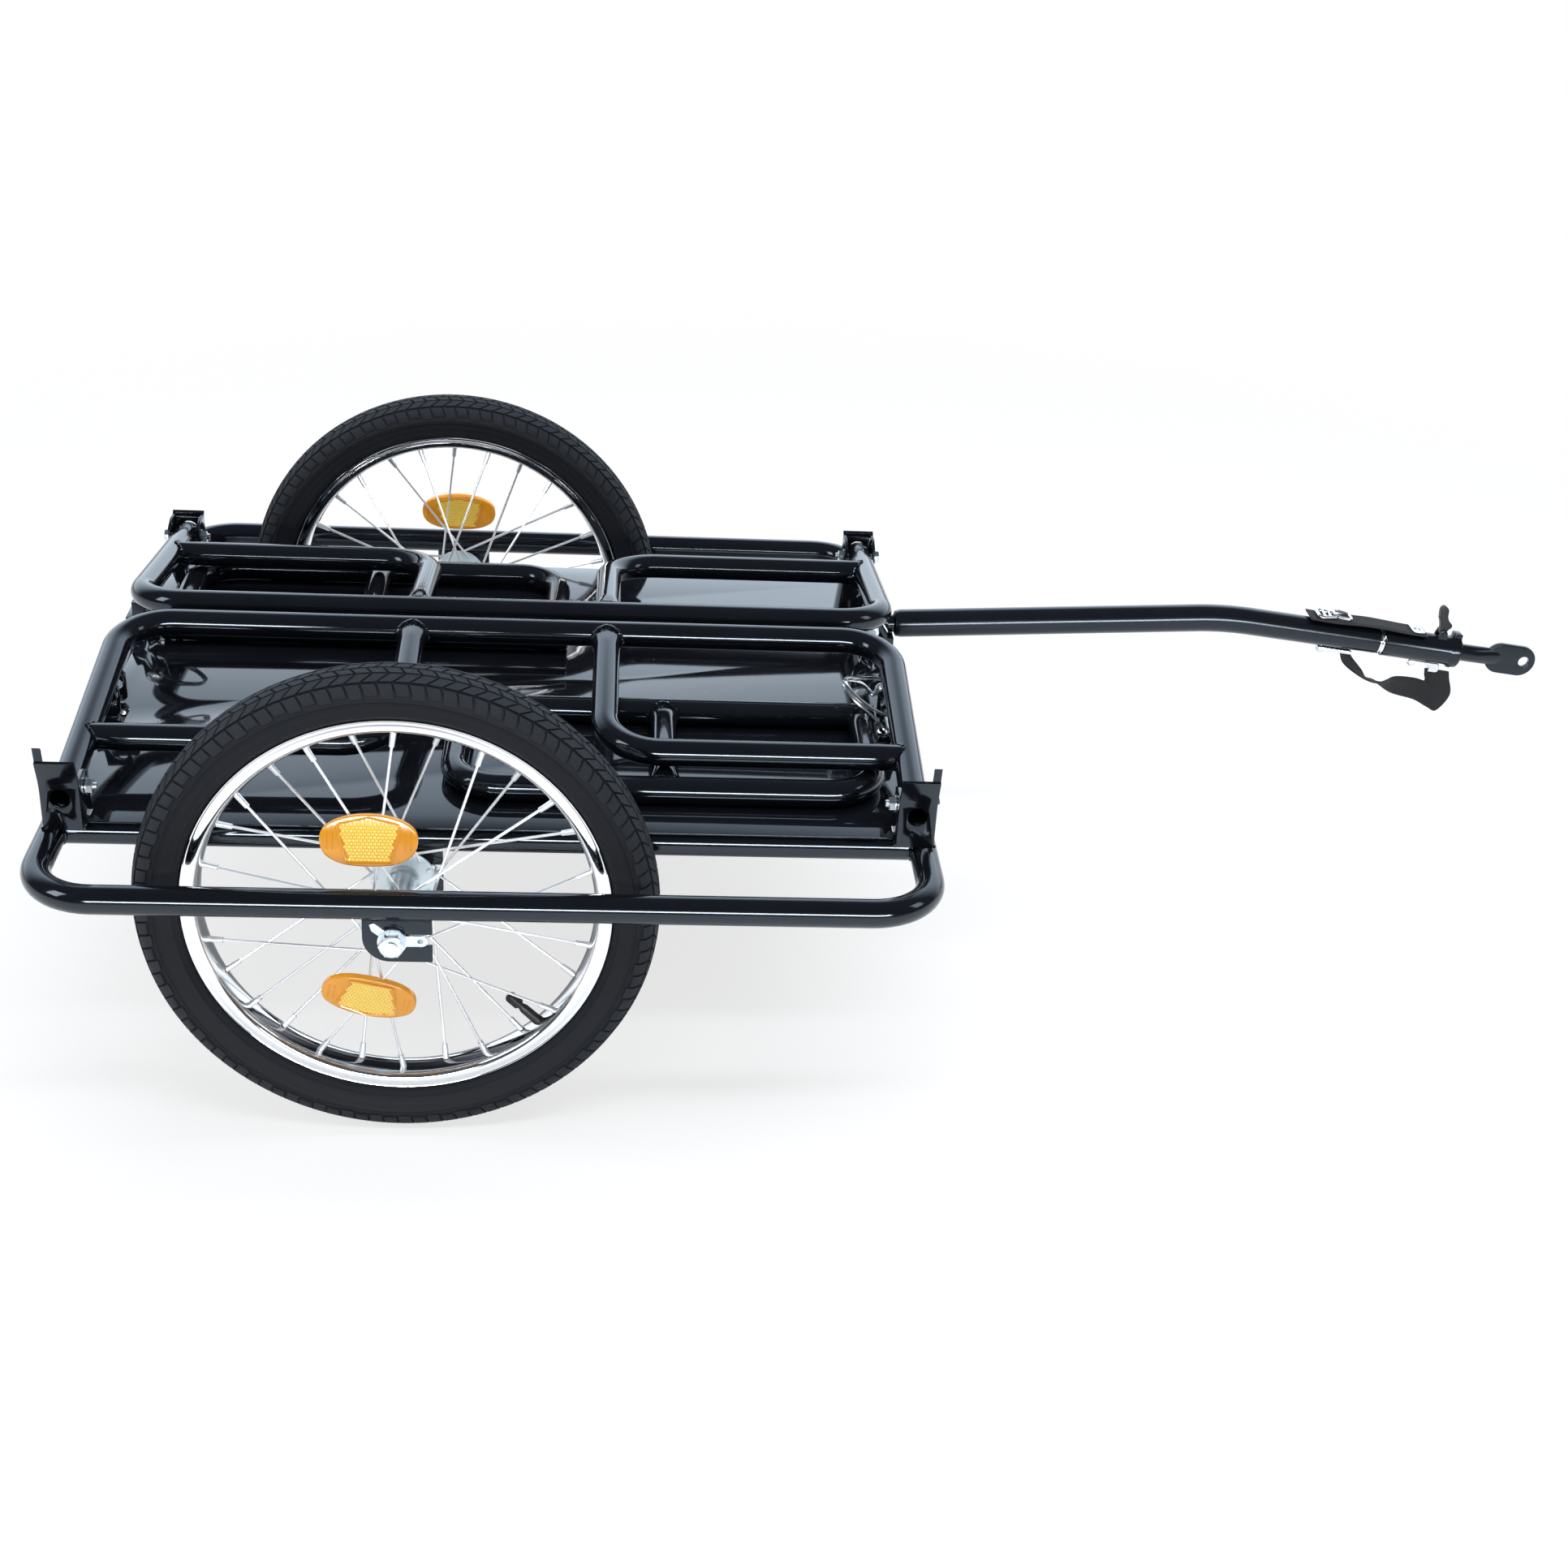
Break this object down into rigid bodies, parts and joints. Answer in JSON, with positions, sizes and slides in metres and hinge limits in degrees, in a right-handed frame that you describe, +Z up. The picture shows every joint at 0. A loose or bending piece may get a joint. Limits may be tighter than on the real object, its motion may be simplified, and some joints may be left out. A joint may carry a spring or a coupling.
{
  "type": "folding bicycle trailer",
  "caption": "Two-wheeled bicycle trailer with a sheet deck in a round tube frame, hinged side panels folded flat over stowed end gates, and a bent drawbar with a swivelling tongue.",
  "frame": {"origin": "middle of the rectangle that the whole trailer covers on the ground, at the bottom of the tyres", "axes": "+X forwards along the drawbar to the bicycle, +Y to the left, +Z up"},
  "size_m": [1.2854, 0.732, 0.394],
  "materials": {
    "tyre": "matt black tread with smooth sidewalls",
    "inner_tube": "matt black rubber",
    "rim_chrome": "polished",
    "hub_zinc": "bright zinc plate",
    "spoke_steel": "bright plated wire",
    "bearing_steel": "polished",
    "amber_plastic": "clear amber with a honeycomb back",
    "axle_zinc": "bright zinc plate",
    "bright_zinc": "bright zinc plate",
    "ring_chrome": "polished",
    "fitting_steel": "bright zinc plate",
    "lever_plastic": "satin black",
    "webbing": "woven black webbing",
    "deck_black": "high gloss black powder coat",
    "frame_black": "gloss black powder coat"
  },
  "bodies": {
    "chassis": {"chassis_loop": "frame_black", "deck_sheet": "deck_black", "drawbar_pin": "bright_zinc", "drawbar_tube": "frame_black", "front_left_end_bracket": "frame_black", "front_right_end_bracket": "frame_black", "left_axle": "axle_zinc", "left_deck_rail": "frame_black", "left_front_corner_bracket": "frame_black", "left_front_hinge_bolt": "bright_zinc", "left_inner_axle_nut": "axle_zinc", "left_outer_axle_nut": "axle_zinc", "left_rear_corner_bracket": "frame_black", "left_rear_hinge_bolt": "bright_zinc", "lower_strap": "webbing", "lower_strap_front_clip": "fitting_steel", "lower_strap_rear_clip": "fitting_steel", "rear_left_end_bracket": "frame_black", "rear_right_end_bracket": "frame_black", "right_axle": "axle_zinc", "right_deck_rail": "frame_black", "right_front_corner_bracket": "frame_black", "right_front_hinge_bolt": "bright_zinc", "right_inner_axle_nut": "axle_zinc", "right_outer_axle_nut": "axle_zinc", "right_rear_corner_bracket": "frame_black", "right_rear_hinge_bolt": "bright_zinc", "strap_buckle": "fitting_steel", "swivel_ring": "ring_chrome", "swivel_sleeve": "frame_black", "upper_strap": "webbing", "upper_strap_clip": "fitting_steel"},
    "left_wheel": {"left_bearings": "bearing_steel", "left_hub_shell": "hub_zinc", "left_inner_spokes": "spoke_steel", "left_inner_tube": "inner_tube", "left_lower_reflector": "amber_plastic", "left_outer_spokes": "spoke_steel", "left_rim": "rim_chrome", "left_tyre": "tyre", "left_upper_reflector": "amber_plastic"},
    "right_wheel": {"right_bearings": "bearing_steel", "right_hub_shell": "hub_zinc", "right_inner_spokes": "spoke_steel", "right_inner_tube": "inner_tube", "right_lower_reflector": "amber_plastic", "right_outer_spokes": "spoke_steel", "right_rim": "rim_chrome", "right_tyre": "tyre", "right_upper_reflector": "amber_plastic"},
    "left_panel": {"left_side_panel": "frame_black"},
    "right_panel": {"right_side_panel": "frame_black"},
    "left_gate_body": {"left_gate": "frame_black"},
    "right_gate_body": {"right_gate": "frame_black"},
    "front_pin": {"front_lock_pin": "bright_zinc"},
    "rear_pin": {"rear_lock_pin": "bright_zinc"},
    "front_bail": {"front_pin_bail": "bright_zinc"},
    "rear_bail": {"rear_pin_bail": "bright_zinc"},
    "tongue": {"coupling_tongue": "frame_black"},
    "lever": {"clamp_lever": "lever_plastic"}
  },
  "joints": [
    {"name": "left_wheel_spin", "type": "hinge", "parent": "chassis", "child": "left_wheel", "pos_m": [-0.36767, 0.301, 0.197], "axis": [0, 1, 0], "continuous": true},
    {"name": "right_wheel_spin", "type": "hinge", "parent": "chassis", "child": "right_wheel", "pos_m": [-0.36767, -0.301, 0.197], "axis": [0, 1, 0], "continuous": true},
    {"name": "left_panel_fold", "type": "hinge", "parent": "chassis", "child": "left_panel", "pos_m": [-0.36767, 0.25, 0.264], "axis": [-1, 0, 0], "range_deg": [0, 82]},
    {"name": "right_panel_fold", "type": "hinge", "parent": "chassis", "child": "right_panel", "pos_m": [-0.36767, -0.25, 0.264], "axis": [1, 0, 0], "range_deg": [0, 82]},
    {"name": "left_gate_slide", "type": "slide", "parent": "chassis", "child": "left_gate_body", "axis": [1, 0, 0], "range_m": [0, 0.2]},
    {"name": "right_gate_slide", "type": "slide", "parent": "chassis", "child": "right_gate_body", "axis": [-1, 0, 0], "range_m": [0, 0.2]},
    {"name": "front_lock_pin_slide", "type": "slide", "parent": "chassis", "child": "front_pin", "axis": [0, 1, 0], "range_m": [0, 0.004]},
    {"name": "front_bail_swing", "type": "hinge", "parent": "front_pin", "child": "front_bail", "pos_m": [0.01483, -0.0435, 0.262], "axis": [-0.5, 0, -0.866], "range_deg": [0, 45]},
    {"name": "rear_lock_pin_slide", "type": "slide", "parent": "chassis", "child": "rear_pin", "axis": [0, -1, 0], "range_m": [0, 0.004]},
    {"name": "rear_bail_swing", "type": "hinge", "parent": "rear_pin", "child": "rear_bail", "pos_m": [-0.61317, 0.0435, 0.262], "axis": [0.5, 0, -0.866], "range_deg": [0, 45]},
    {"name": "tongue_swivel", "type": "hinge", "parent": "chassis", "child": "tongue", "pos_m": [0.48823, 0.082, 0.26609], "axis": [0.9925, 0, -0.1219], "continuous": true},
    {"name": "clamp_lever_turn", "type": "hinge", "parent": "chassis", "child": "lever", "pos_m": [0.54947, 0.082, 0.27579], "axis": [0, 1, 0], "range_deg": [0, 60]}
  ]
}
